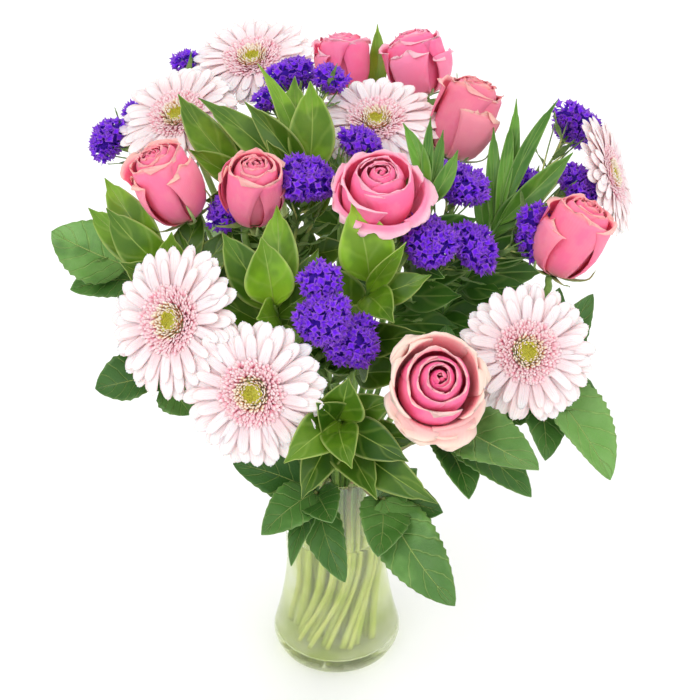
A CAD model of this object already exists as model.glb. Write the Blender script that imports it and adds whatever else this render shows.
# A hand-tied bouquet of gerberas, roses, statice and greenery in a flared glass vase.
import math
import random

import bmesh
import bpy
import numpy as np
from mathutils import Matrix, Vector


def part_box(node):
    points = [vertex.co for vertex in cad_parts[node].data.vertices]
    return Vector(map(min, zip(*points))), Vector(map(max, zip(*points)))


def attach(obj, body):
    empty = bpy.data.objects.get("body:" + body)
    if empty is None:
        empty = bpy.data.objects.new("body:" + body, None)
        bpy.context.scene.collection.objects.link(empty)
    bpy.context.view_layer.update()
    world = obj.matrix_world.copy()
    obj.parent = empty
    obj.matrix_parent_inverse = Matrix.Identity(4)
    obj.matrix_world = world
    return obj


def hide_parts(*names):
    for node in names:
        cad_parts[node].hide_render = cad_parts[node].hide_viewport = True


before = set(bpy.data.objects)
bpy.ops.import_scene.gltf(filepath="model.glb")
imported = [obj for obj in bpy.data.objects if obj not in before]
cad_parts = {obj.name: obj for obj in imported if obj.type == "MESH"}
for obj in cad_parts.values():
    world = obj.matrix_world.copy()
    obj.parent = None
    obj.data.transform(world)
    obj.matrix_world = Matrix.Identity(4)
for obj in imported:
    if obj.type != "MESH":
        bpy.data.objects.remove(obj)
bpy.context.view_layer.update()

scene = bpy.context.scene
for name in ("Cube", "Light", "Camera"):    # what a new file starts with
    if name in scene.objects:
        bpy.data.objects.remove(scene.objects[name])
up = Vector((0, 0, 1))
mm = 0.001


# places in the frame

vaseLow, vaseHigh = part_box("vase")
waterLow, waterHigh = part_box("water")

bunch = {
    "tieBelowRim": 50 * mm,    # the hand-tied point that every stem leans out from
    "waistHeight": 95 * mm,
    "gerberaNeck": 42 * mm,    # straight stem under each kind of head
    "roseNeck": 34 * mm,
    "sprigNeck": 30 * mm,
    "leafFold": 0.27,
    "leafDroop": 0.19,
}
tie = Vector((0, 0, vaseHigh.z - bunch["tieBelowRim"]))


def heading(azimuth, elevation):
    a, e = math.radians(azimuth), math.radians(elevation)
    return Vector((math.cos(e) * math.cos(a), math.cos(e) * math.sin(a), math.sin(e)))


def fromTie(azimuth, lean, reach):
    return tie + heading(azimuth, 90 - lean) * reach * mm


# merged corners and triangles of a CAD node
def cadMesh(node):
    source = bmesh.new()
    source.from_mesh(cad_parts[node].data)
    bmesh.ops.remove_doubles(source, verts=source.verts, dist=1e-6)
    bmesh.ops.triangulate(source, faces=source.faces)
    points = np.array([v.co[:] for v in source.verts])
    triangles = np.array([[v.index for v in f.verts] for f in source.faces])
    source.free()
    return points, triangles


# middle of the section that a level plane cuts from a node
def sectionMiddle(points, triangles, height, reach=1.0):
    crossings = []
    for a, b in ((0, 1), (1, 2), (2, 0)):
        p, q = points[triangles[:, a]], points[triangles[:, b]]
        cuts = (p[:, 2] - height) * (q[:, 2] - height) < 0
        share = (height - p[cuts, 2]) / (q[cuts, 2] - p[cuts, 2])
        crossings.append(p[cuts] + (q[cuts] - p[cuts]) * share[:, None])
    found = np.concatenate(crossings)
    found = found[np.hypot(found[:, 0], found[:, 1]) < reach]
    middle = (found.min(0) + found.max(0)) / 2
    return Vector((middle[0], middle[1], height))


# a flower head from its plan: where it is, which way it looks, and its size
def headOf(plan, below):
    azimuth, lean, reach, diameter, height, faceAzimuth, faceLift = plan
    axis = heading(faceAzimuth, faceLift)
    centre = fromTie(azimuth, lean, reach)
    return {
        "base": centre - axis * (below if below else height / 2 * mm),
        "axis": axis,
        "radius": diameter / 2 * mm,
        "height": height * mm,
    }


def headMatrix(head, spin=0):
    turn = up.rotation_difference(head["axis"]).to_matrix().to_4x4()
    return Matrix.Translation(head["base"]) @ turn @ Matrix.Rotation(math.radians(spin), 4, "Z")


# a smooth line through a few points, as a stem bends
def smoothLine(points, count):
    ends = [points[0] * 2 - points[1]] + list(points) + [points[-1] * 2 - points[-2]]
    line = []
    for k in range(count + 1):
        at = k / count * (len(points) - 1)
        i = min(int(at), len(points) - 2)
        t = at - i
        a, b, c, d = ends[i:i + 4]
        line.append(0.5 * (
            2 * b + (c - a) * t + (2 * a - 5 * b + 4 * c - d) * t * t
            + (3 * b - a - 3 * c + d) * t ** 3
        ))
    return line


# the stem's run from the vase's floor, through the waist and the rim, to its head
def stemLine(node, end, axis, neck, count=40):
    points, triangles = cadMesh(node)
    inside = vaseHigh.x
    low = points[:, 2].min() + 4 * mm
    first = sectionMiddle(points, triangles, low, inside)
    second = sectionMiddle(points, triangles, low + 12 * mm, inside)
    foot = first + (first - second) * (3.2 / 12)
    waist = sectionMiddle(points, triangles, bunch["waistHeight"], inside)
    rim = sectionMiddle(points, triangles, vaseHigh.z, inside)
    return smoothLine([foot, waist, rim, end - axis * neck, end], count)


# meshes from patches

# Sheets and tubes gathered into one mesh. Each point keeps where it lies on its own patch (the UV map
# "blade": across, along), a number that its whole patch shares (tone) and one that varies (shade).
class Patches:
    def __init__(self):
        self.points, self.blade, self.tone, self.shade = [], [], [], []
        self.faces, self.finish = [], []

    # rows of loops; each loop closes on itself
    def addLoops(self, grid, blade, tone, shade, finish):
        rows, columns = grid.shape[:2]
        first = len(self.points)
        self.points.extend(grid.reshape(-1, 3).tolist())
        self.blade.extend(blade.reshape(-1, 2).tolist())
        self.tone.extend([tone] * (rows * columns))
        self.shade.extend(shade.reshape(-1).tolist())
        for r in range(rows - 1):
            for c in range(columns):
                d = (c + 1) % columns
                a, b = first + r * columns, first + (r + 1) * columns
                self.faces.append((a + c, a + d, b + d, b + c))
                self.finish.append(finish)

    # a thin closed sheet over a grid of points, rows along it and columns across it
    def addSheet(self, grid, thickness, tone=0.5, shade=(0.0, 1.0), finish=0, shadeGrid=None):
        rows, columns = grid.shape[:2]
        along = np.gradient(grid, axis=0)
        across = np.gradient(grid, axis=1)
        normal = np.cross(across, along)
        normal /= np.linalg.norm(normal, axis=2, keepdims=True) + 1e-12
        top = grid + normal * thickness / 2
        under = (grid - normal * thickness / 2)[:, ::-1]
        loops = np.concatenate([top, under], axis=1)
        slit = np.concatenate([grid, grid[:, ::-1]], axis=1)
        loops = np.concatenate([slit[:1], loops, slit[-1:]], axis=0)
        u = np.linspace(0, 1, columns)
        v = np.linspace(0, 1, rows)
        uLoop = np.concatenate([u, u[::-1]])
        vRows = np.concatenate([v[:1], v, v[-1:]])
        blade = np.stack(np.meshgrid(uLoop, vRows), axis=2)
        if shadeGrid is None:
            side = np.concatenate([np.full(columns, shade[0]), np.full(columns, shade[1])])
            shades = np.tile(side, (rows + 2, 1))
        else:
            both = np.concatenate([shadeGrid, shadeGrid[:, ::-1]], axis=1)
            shades = np.concatenate([both[:1], both, both[-1:]], axis=0)
        self.addLoops(loops, blade, tone, shades, finish)

    # a round stem along a line of points; profile(share, angle) gives its radius
    def addTube(self, line, profile, sides=10, tone=0.5, finish=0):
        count = len(line)
        side = None
        rows = []
        for k, point in enumerate(line):
            ahead = (line[min(k + 1, count - 1)] - line[max(k - 1, 0)]).normalized()
            if side is None:
                side = ahead.orthogonal().normalized()
            side = (side - ahead * side.dot(ahead)).normalized()
            other = ahead.cross(side)
            ring = []
            for i in range(sides):
                angle = i / sides * math.tau
                radius = profile(k / (count - 1), angle)
                ring.append(point + (side * math.cos(angle) + other * math.sin(angle)) * radius)
            rows.append(ring)
        rows = [[line[0]] * sides] + rows + [[line[-1]] * sides]
        grid = np.array([[tuple(p) for p in ring] for ring in rows])
        steps = np.linspace(0, 1, count)
        v = np.concatenate([steps[:1], steps, steps[-1:]])
        blade = np.stack(np.meshgrid(np.arange(sides) / sides, v), axis=2)
        self.addLoops(grid, blade, tone, np.tile(v[:, None], (1, sides)), finish)

    def toObject(self, name, finishes):
        mesh = bpy.data.meshes.new(name)
        mesh.from_pydata(self.points, [], self.faces)
        for finish in finishes:
            mesh.materials.append(finish)
        mesh.polygons.foreach_set("material_index", self.finish)
        mesh.polygons.foreach_set("use_smooth", [True] * len(self.faces))
        corners = np.empty(len(mesh.loops), int)
        mesh.loops.foreach_get("vertex_index", corners)
        mesh.uv_layers.new(name="blade").data.foreach_set("uv", np.array(self.blade)[corners].ravel())
        for key, values in (("tone", self.tone), ("shade", self.shade)):
            mesh.attributes.new(key, "FLOAT", "POINT").data.foreach_set("value", values)
        closeUp(mesh)
        obj = bpy.data.objects.new(name, mesh)
        scene.collection.objects.link(obj)
        return obj


# rings of points round the axis from (radius, height) pairs, drawn to a point at both ends
def turnedGrid(levels, sides):
    rings = [[(r * math.cos(k / sides * math.tau), r * math.sin(k / sides * math.tau), z)
              for k in range(sides)] for r, z in levels]
    return np.array([[(0, 0, levels[0][1])] * sides] + rings + [[(0, 0, levels[-1][1])] * sides])


# welds seams and poles and turns every face outwards
def closeUp(mesh):
    work = bmesh.new()
    work.from_mesh(mesh)
    bmesh.ops.remove_doubles(work, verts=work.verts, dist=2e-7)
    bmesh.ops.recalc_face_normals(work, faces=work.faces)
    work.to_mesh(mesh)
    work.free()


# several objects made one, placed by a matrix
def joined(name, parts, matrix=None):
    with bpy.context.temp_override(
        active_object=parts[0], selected_editable_objects=parts, selected_objects=parts
    ):
        if len(parts) > 1:
            bpy.ops.object.join()
    whole = parts[0]
    whole.name = name
    whole.data.name = name
    if matrix is not None:
        whole.data.transform(matrix)
    return whole


def settle(piece, slot, *cadNodes):
    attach(piece, "root")
    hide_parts(*cadNodes)


# node helpers

def colour(code):
    parts = [int(code[i:i + 2], 16) / 255 for i in (1, 3, 5)]
    return tuple(c / 12.92 if c <= 0.04045 else ((c + 0.055) / 1.055) ** 2.4 for c in parts) + (1,)


# a node with its settings; an input given as a socket is linked, anything else is set
def addNode(tree, kind, inputs=None, **settings):
    node = tree.nodes.new(kind)
    for key, value in settings.items():
        setattr(node, key, value)
    for key, value in (inputs or {}).items():
        if isinstance(value, bpy.types.NodeSocket):
            tree.links.new(value, node.inputs[key])
        else:
            node.inputs[key].default_value = value
    return node


def calc(tree, operation, *values):
    inputs = {i: value for i, value in enumerate(values)}
    return addNode(tree, "ShaderNodeMath", inputs, operation=operation).outputs[0]


def mixColours(tree, share, first, second, blend="MIX"):
    inputs = {0: share, 6: first, 7: second}
    return addNode(tree, "ShaderNodeMix", inputs, data_type="RGBA", blend_type=blend).outputs[2]


def ramp(tree, value, stops):
    node = addNode(tree, "ShaderNodeValToRGB", {0: value})
    elements = node.color_ramp.elements
    while len(elements) < len(stops):
        elements.new(0.5)
    for element, (place, code) in zip(elements, stops):
        element.position = place
        element.color = colour(code)
    return node.outputs[0]


def smooth(tree, value, low, high):
    inputs = {0: value, 1: low, 2: high, 3: 0.0, 4: 1.0}
    return addNode(tree, "ShaderNodeMapRange", inputs, interpolation_type="SMOOTHSTEP").outputs[0]


def attribute(tree, name):
    return addNode(tree, "ShaderNodeAttribute", attribute_name=name).outputs["Fac"]


# along and across of the blade: v from 0 at the base to 1 at the tip, u from 0 to 1 across it
def bladePlace(tree):
    uv = addNode(tree, "ShaderNodeUVMap", uv_map="blade")
    parts = addNode(tree, "ShaderNodeSeparateXYZ", {0: uv.outputs[0]})
    return parts.outputs[0], parts.outputs[1]


def newGroup(name, inputs, outputs):
    group = bpy.data.node_groups.new(name, "ShaderNodeTree")
    for label, kind, value in inputs:
        socket = group.interface.new_socket(label, in_out="INPUT", socket_type=kind)
        socket.default_value = value
    for label, kind in outputs:
        group.interface.new_socket(label, in_out="OUTPUT", socket_type=kind)
    return group, group.nodes.new("NodeGroupInput"), group.nodes.new("NodeGroupOutput")


def placeGroup(tree, group, **values):
    node = tree.nodes.new("ShaderNodeGroup")
    node.node_tree = group
    for key, value in values.items():
        socket = node.inputs[key]
        if isinstance(value, bpy.types.NodeSocket):
            tree.links.new(value, socket)
        else:
            socket.default_value = value
    return node


def newMaterial(name, **constants):
    material = bpy.data.materials.new(name)
    material.use_nodes = True
    tree = material.node_tree
    shader = tree.nodes["Principled BSDF"]
    for key, value in constants.items():
        shader.inputs[key.replace("_", " ")].default_value = value
    return material, tree, shader


def bump(tree, shader, height, distance, strength=1.0):
    node = addNode(tree, "ShaderNodeBump", {"Height": height, "Distance": distance, "Strength": strength})
    tree.links.new(node.outputs[0], shader.inputs["Normal"])


# shared surface effects

# midrib and side veins of a leaf, from where a point lies on its blade
def makeVeinGroup():
    group, given, out = newGroup(
        "leafVeins",
        [("Pairs", "NodeSocketFloat", 7), ("Slant", "NodeSocketFloat", 2.4),
         ("Vein Width", "NodeSocketFloat", 0.12), ("Midrib Width", "NodeSocketFloat", 0.08)],
        [("Midrib", "NodeSocketFloat"), ("Veins", "NodeSocketFloat"), ("Margin", "NodeSocketFloat")],
    )
    u, v = bladePlace(group)
    aside = calc(group, "ABSOLUTE", calc(group, "MULTIPLY_ADD", u, 2.0, -1.0))
    midrib = calc(group, "SUBTRACT", 1.0, smooth(group, aside, 0.0, given.outputs["Midrib Width"]))
    where = addNode(group, "ShaderNodeTexCoord").outputs["Object"]
    wander = addNode(group, "ShaderNodeTexNoise", {"Vector": where, "Scale": 80.0, "Detail": 1.0})
    place = calc(group, "MULTIPLY", v, given.outputs["Pairs"])
    place = calc(group, "SUBTRACT", place, calc(group, "MULTIPLY", aside, given.outputs["Slant"]))
    place = calc(group, "ADD", place, calc(group, "MULTIPLY", wander.outputs["Fac"], 0.35))
    gap = calc(group, "PINGPONG", place, 0.5)
    veins = calc(group, "SUBTRACT", 1.0, smooth(group, gap, 0.0, given.outputs["Vein Width"]))
    margin = smooth(group, aside, 0.86, 1.0)
    group.links.new(midrib, out.inputs["Midrib"])
    group.links.new(veins, out.inputs["Veins"])
    group.links.new(margin, out.inputs["Margin"])
    return group


# soft uneven patches and fine grain, as on any plant skin
def makeMottleGroup():
    group, given, out = newGroup(
        "mottle",
        [("Patch Scale", "NodeSocketFloat", 60), ("Grain Scale", "NodeSocketFloat", 900)],
        [("Patches", "NodeSocketFloat"), ("Grain", "NodeSocketFloat")],
    )
    place = addNode(group, "ShaderNodeTexCoord").outputs["Object"]
    for label, scale, detail in (("Patches", "Patch Scale", 3.0), ("Grain", "Grain Scale", 2.0)):
        inputs = {"Vector": place, "Scale": given.outputs[scale], "Detail": detail}
        noise = addNode(group, "ShaderNodeTexNoise", inputs)
        group.links.new(smooth(group, noise.outputs["Fac"], 0.3, 0.7), out.inputs[label])
    return group


# fine ribs that run along a petal
def makeRibGroup():
    group, given, out = newGroup(
        "petalRibs",
        [("Ribs", "NodeSocketFloat", 7), ("Groove", "NodeSocketFloat", 0.5)],
        [("Fine", "NodeSocketFloat"), ("Broad", "NodeSocketFloat")],
    )
    u, _ = bladePlace(group)
    fan = calc(group, "MULTIPLY", u, given.outputs["Ribs"])
    group.links.new(smooth(group, calc(group, "PINGPONG", fan, 0.5), 0.0, 0.5), out.inputs["Fine"])
    aside = calc(group, "ABSOLUTE", calc(group, "MULTIPLY_ADD", u, 2.0, -1.0))
    groove = calc(group, "ABSOLUTE", calc(group, "SUBTRACT", aside, given.outputs["Groove"]))
    group.links.new(smooth(group, groove, 0.0, 0.3), out.inputs["Broad"])
    return group


leafVeins = makeVeinGroup()
mottle = makeMottleGroup()
petalRibs = makeRibGroup()
print("surface groups ready")


# stems: fresh green with fine lines along them, paler or redder in places
def makeStemMaterial(name, base, light, ribs, rough=0.5, hair=0.0, pale=0.0):
    material, tree, shader = newMaterial(name, Roughness=rough, Subsurface_Weight=0.08)
    shader.inputs["Subsurface Radius"].default_value = (0.4, 0.8, 0.2)
    shader.inputs["Subsurface Scale"].default_value = 1.5 * mm
    spots = placeGroup(tree, mottle, **{"Patch Scale": 90.0, "Grain Scale": 1500.0})
    u, _ = bladePlace(tree)
    rib = calc(tree, "PINGPONG", calc(tree, "MULTIPLY", u, float(ribs)), 0.5)
    body = mixColours(tree, spots.outputs["Patches"], colour(base), colour(light))
    lined = mixColours(tree, calc(tree, "MULTIPLY", rib, 0.5), body, colour(light))
    low = calc(tree, "MULTIPLY", smooth(tree, attribute(tree, "shade"), 0.46, 0.30), pale)
    lined = mixColours(tree, low, lined, colour("#E2E88C"))
    tree.links.new(lined, shader.inputs["Base Color"])
    height = calc(tree, "ADD", rib, calc(tree, "MULTIPLY", spots.outputs["Grain"], 0.3 + hair))
    bump(tree, shader, height, 0.25 * mm)
    return material


# leaves: darker above, paler below, with midrib, side veins and a fine pale margin
def makeLeafMaterial(name, look):
    material, tree, shader = newMaterial(
        name, Subsurface_Weight=0.10, Coat_Weight=look["coat"], Coat_Roughness=look["gloss"] * 0.8,
        Specular_IOR_Level=0.3,
    )
    shader.inputs["Subsurface Radius"].default_value = (0.3, 1.0, 0.15)
    shader.inputs["Subsurface Scale"].default_value = 1.2 * mm
    veins = placeGroup(tree, leafVeins, **{
        "Pairs": look["pairs"], "Slant": look["slant"], "Vein Width": look["veinWidth"],
        "Midrib Width": look["midrib"],
    })
    spots = placeGroup(tree, mottle, **{"Patch Scale": 55.0, "Grain Scale": 700.0})
    tone = attribute(tree, "tone")
    under = smooth(tree, attribute(tree, "shade"), 0.4, 0.6)
    broad = placeGroup(tree, mottle, **{"Patch Scale": 24.0, "Grain Scale": 300.0})
    _, v = bladePlace(tree)
    top = mixColours(tree, tone, colour(look["dark"]), colour(look["bright"]))
    young = calc(tree, "MULTIPLY_ADD", tone, 0.35, 0.05)
    top = mixColours(tree, calc(tree, "MULTIPLY", spots.outputs["Patches"], young), top,
                     colour(look["fresh"]))
    top = mixColours(tree, calc(tree, "MULTIPLY", smooth(tree, v, 0.45, 0.0), young), top,
                     colour(look["fresh"]))
    deep = calc(tree, "MULTIPLY", smooth(tree, broad.outputs["Patches"], 0.35, 0.8), 0.45)
    top = mixColours(tree, deep, top, colour(look["dark"]))
    low = mixColours(tree, calc(tree, "MULTIPLY", spots.outputs["Patches"], 0.3),
                     colour(look["under"]), colour(look["fresh"]))
    body = mixColours(tree, under, top, low)
    lines = calc(tree, "MULTIPLY", veins.outputs["Veins"], look["veinShow"])
    body = mixColours(tree, lines, body, colour(look["vein"]))
    body = mixColours(tree, calc(tree, "MULTIPLY", veins.outputs["Midrib"], 0.7), body, colour(look["vein"]))
    edge = calc(tree, "MULTIPLY", veins.outputs["Margin"], look["marginShow"])
    body = mixColours(tree, edge, body, colour(look["margin"]))
    tree.links.new(body, shader.inputs["Base Color"])
    rough = calc(tree, "MULTIPLY_ADD", spots.outputs["Grain"], 0.12, look["gloss"])
    tree.links.new(calc(tree, "MULTIPLY_ADD", under, 0.25, rough), shader.inputs["Roughness"])
    sunk = calc(tree, "MULTIPLY_ADD", veins.outputs["Veins"], -0.6, 1.0)
    sunk = calc(tree, "SUBTRACT", sunk, calc(tree, "MULTIPLY", veins.outputs["Midrib"], 0.8))
    height = calc(tree, "ADD", sunk, calc(tree, "MULTIPLY", spots.outputs["Grain"], 0.12))
    bump(tree, shader, height, look["relief"])
    return material


# petals: a ramp from base to tip, blushed by where the petal sits, with fine ribs along it
def makePetalMaterial(name, stops, blush, ribs, rough=0.55, sheen=0.08, scatter=0.35):
    material, tree, shader = newMaterial(
        name, Roughness=rough, Sheen_Weight=sheen, Sheen_Roughness=0.4, Subsurface_Weight=scatter,
        Specular_IOR_Level=0.3,
    )
    shader.inputs["Subsurface Radius"].default_value = (1.0, 0.45, 0.35)
    shader.inputs["Subsurface Scale"].default_value = 2 * mm
    rib = placeGroup(tree, petalRibs, Ribs=float(ribs))
    spots = placeGroup(tree, mottle, **{"Patch Scale": 70.0, "Grain Scale": 1400.0})
    u, v = bladePlace(tree)
    tone = attribute(tree, "tone")
    place = calc(tree, "ADD", v, calc(tree, "MULTIPLY_ADD", spots.outputs["Patches"], 0.16, -0.08))
    body = ramp(tree, place, stops)
    body = mixColours(tree, calc(tree, "MULTIPLY", tone, 0.5), body, colour(blush))
    fine = calc(tree, "MULTIPLY", rib.outputs["Fine"], 0.10)
    body = mixColours(tree, fine, body, colour(stops[0][1]), "MULTIPLY")
    away = calc(tree, "ABSOLUTE", calc(tree, "MULTIPLY_ADD", u, 2.0, -1.0))
    edge = calc(tree, "MULTIPLY", smooth(tree, away, 0.55, 1.0), smooth(tree, v, 1.0, 0.75))
    body = mixColours(tree, calc(tree, "MULTIPLY", edge, 0.5), body, colour(stops[1][1]))
    tree.links.new(body, shader.inputs["Base Color"])
    height = calc(tree, "ADD", calc(tree, "MULTIPLY", rib.outputs["Fine"], 0.35),
                  calc(tree, "MULTIPLY", rib.outputs["Broad"], 0.6))
    height = calc(tree, "ADD", height, calc(tree, "MULTIPLY", spots.outputs["Grain"], 0.15))
    bump(tree, shader, height, 0.3 * mm)
    return material


# small florets: one colour at the throat and another at the lip, uneven from floret to floret
def makeFloretMaterial(name, throat, lip, odd, rough=0.6, reach=(0.35, 0.9)):
    material, tree, shader = newMaterial(
        name, Roughness=rough, Sheen_Weight=0.05, Subsurface_Weight=0.3, Specular_IOR_Level=0.2
    )
    shader.inputs["Subsurface Radius"].default_value = (1.0, 0.7, 1.0)
    shader.inputs["Subsurface Scale"].default_value = 1.5 * mm
    spots = placeGroup(tree, mottle, **{"Patch Scale": 160.0, "Grain Scale": 2200.0})
    share = smooth(tree, attribute(tree, "shade"), *reach)
    body = mixColours(tree, share, colour(throat), colour(lip))
    body = mixColours(tree, calc(tree, "MULTIPLY", attribute(tree, "tone"), 0.6), body, colour(odd))
    body = mixColours(tree, calc(tree, "MULTIPLY", spots.outputs["Patches"], 0.2), body, colour(throat))
    tree.links.new(body, shader.inputs["Base Color"])
    bump(tree, shader, spots.outputs["Grain"], 0.15 * mm)
    return material


# vase

vase = {
    "footRadius": 52 * mm,
    "bellyRadius": 57.2 * mm,
    "bellyHeight": 15 * mm,
    "waistRadius": 43.8 * mm,
    "waistHeight": 95 * mm,
    "rimRadius": 52 * mm,
    "wall": 3 * mm,
    "floor": 11 * mm,
    "segments": 96,
    "waterInGlass": 0.15 * mm,    # the water reaches this far into the wall, so no air shows between
    "meniscus": 1.6 * mm,
    "glassTint": "#F6F9F2",
    "waterTint": "#F2F6C4",
    "waterDeep": "#D8E68A",
    "waterPale": "#FBFCEC",
    "shadowTint": "#F4F5F0",
}


def vaseRadius(z):
    if z <= vase["bellyHeight"]:
        swell = math.sin(max(z, 0) / vase["bellyHeight"] * math.pi / 2)
        return vase["footRadius"] + (vase["bellyRadius"] - vase["footRadius"]) * swell
    if z <= vase["waistHeight"]:
        above = (vase["waistHeight"] - z) / (vase["waistHeight"] - vase["bellyHeight"])
        return vase["waistRadius"] + (vase["bellyRadius"] - vase["waistRadius"]) * above ** 1.7
    share = (z - vase["waistHeight"]) / (vaseHigh.z - vase["waistHeight"])
    return vase["waistRadius"] + (vase["rimRadius"] - vase["waistRadius"]) * share ** 1.6


# a closed turned shape from a profile that starts and ends on the axis
def lathe(name, profile, segments, finish):
    work = bmesh.new()
    rings = []
    for r, z in profile:
        if r < 1e-6:
            rings.append([work.verts.new((0, 0, z))])
            continue
        turns = [i / segments * math.tau for i in range(segments)]
        rings.append([work.verts.new((r * math.cos(a), r * math.sin(a), z)) for a in turns])
    for low, high in zip(rings, rings[1:]):
        for i in range(segments):
            j = (i + 1) % segments
            if len(low) == 1:
                work.faces.new((low[0], high[j], high[i]))
            elif len(high) == 1:
                work.faces.new((low[i], low[j], high[0]))
            else:
                work.faces.new((low[i], low[j], high[j], high[i]))
    bmesh.ops.recalc_face_normals(work, faces=work.faces)
    for face in work.faces:
        face.smooth = True
    mesh = bpy.data.meshes.new(name)
    work.to_mesh(mesh)
    work.free()
    mesh.materials.append(finish)
    obj = bpy.data.objects.new(name, mesh)
    scene.collection.objects.link(obj)
    return obj


# clear glass and water let light through their shadows, or everything inside would be dark
def makeClearMaterial(name, tint, ior, rough, clearness):
    material, tree, shader = newMaterial(
        name, Roughness=rough, IOR=ior, Transmission_Weight=clearness, Base_Color=colour(tint)
    )
    output = tree.nodes["Material Output"]
    clear = addNode(tree, "ShaderNodeBsdfTransparent", {0: colour(vase["shadowTint"])})
    light = addNode(tree, "ShaderNodeLightPath")
    far = calc(tree, "GREATER_THAN", light.outputs["Ray Depth"], 4.5)
    both = addNode(tree, "ShaderNodeMixShader", {
        0: calc(tree, "MAXIMUM", light.outputs["Is Shadow Ray"], far), 1: shader.outputs[0],
        2: clear.outputs[0],
    })
    tree.links.new(both.outputs[0], output.inputs["Surface"])
    return material, tree, shader


def makeGlassMaterial():
    material, tree, shader = makeClearMaterial("clear glass", vase["glassTint"], 1.46, 0.0, 0.965)
    place = addNode(tree, "ShaderNodeTexCoord").outputs["Object"]
    slow = addNode(tree, "ShaderNodeTexNoise", {"Vector": place, "Scale": 26.0, "Detail": 1.0})
    seeds = addNode(tree, "ShaderNodeTexNoise", {"Vector": place, "Scale": 420.0, "Detail": 0.0})
    height = calc(tree, "ADD", slow.outputs["Fac"], calc(tree, "MULTIPLY", seeds.outputs["Fac"], 0.02))
    bump(tree, shader, height, 0.9 * mm, 0.35)
    smears = smooth(tree, slow.outputs["Fac"], 0.45, 0.75)
    tree.links.new(calc(tree, "MULTIPLY", smears, 0.06), shader.inputs["Roughness"])
    return material


def makeWaterMaterial():
    material, tree, shader = makeClearMaterial("water", vase["waterTint"], 1.33, 0.0, 0.94)
    place = addNode(tree, "ShaderNodeTexCoord").outputs["Object"]
    ripple = addNode(tree, "ShaderNodeTexNoise", {"Vector": place, "Scale": 60.0, "Detail": 1.0})
    bump(tree, shader, ripple.outputs["Fac"], 0.5 * mm, 0.4)
    cloud = smooth(tree, ripple.outputs["Fac"], 0.3, 0.7)
    streaks = addNode(tree, "ShaderNodeTexNoise", {"Vector": place, "Scale": 34.0, "Detail": 2.0})
    body = ramp(tree, streaks.outputs["Fac"], [
        (0.35, vase["waterDeep"]), (0.55, vase["waterTint"]), (0.7, vase["waterPale"]),
    ])
    tree.links.new(body, shader.inputs["Base Color"])
    tree.links.new(calc(tree, "MULTIPLY_ADD", cloud, 0.10, 0.12), shader.inputs["Roughness"])
    return material


def makeVase():
    top, wall, floor = vaseHigh.z, vase["wall"], vase["floor"]
    outer = [(0, 0.8 * mm), (vase["footRadius"] * 0.8, 0.8 * mm), (vase["footRadius"] - 4 * mm, 0)]
    outer += [(vase["footRadius"] - 1.2 * mm, 0.05 * mm), (vaseRadius(1.2 * mm) - 0.1 * mm, 1.2 * mm)]
    heights = [k / 44 * (top - 5 * mm) + 2.5 * mm for k in range(45)]
    outer += [(vaseRadius(z), z) for z in heights]
    lip = []
    for k in range(7):
        turn = math.pi * k / 6
        middle = vase["rimRadius"] - wall / 2
        lip.append((middle + math.cos(turn) * wall / 2, top - wall / 2 + math.sin(turn) * wall / 2))
    inner = [(vaseRadius(z) - wall, z) for z in reversed(heights) if z > floor + 10 * mm]
    corner = vaseRadius(floor + 9 * mm) - wall
    for k in range(1, 7):
        turn = math.pi / 2 * k / 6
        inner.append((corner - 9 * mm * (1 - math.cos(turn)), floor + 9 * mm * (1 - math.sin(turn))))
    inner.append((0, floor - 0.6 * mm))
    piece = lathe("glass_vase", outer + lip + inner, vase["segments"], makeGlassMaterial())
    settle(piece, "glass", "vase")


def makeWater():
    level, wall, floor = waterHigh.z, vase["wall"] - vase["waterInGlass"], vase["floor"]
    corner = vaseRadius(floor + 9 * mm) - wall
    profile = [(0, floor - 0.6 * mm - vase["waterInGlass"])]
    for k in range(6, 0, -1):
        turn = math.pi / 2 * k / 6
        profile.append((corner - 9 * mm * (1 - math.cos(turn)),
                        floor - vase["waterInGlass"] + 9 * mm * (1 - math.sin(turn))))
    steps = [floor + 10 * mm + k / 30 * (level - floor - 10 * mm) for k in range(31)]
    profile += [(vaseRadius(z) - wall, z) for z in steps]
    rise = vase["meniscus"]
    for k in range(1, 6):
        back = k / 5
        profile.append((vaseRadius(level) - wall - rise * 2 * back,
                        level - rise * (1 - (1 - back) ** 2) * 0.9))
    profile.append((0, level - rise * 0.95))
    piece = lathe("water_in_vase", profile, vase["segments"], makeWaterMaterial())
    settle(piece, "water", "water")


makeVase()
makeWater()
print("vase and water")


# gerberas

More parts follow.
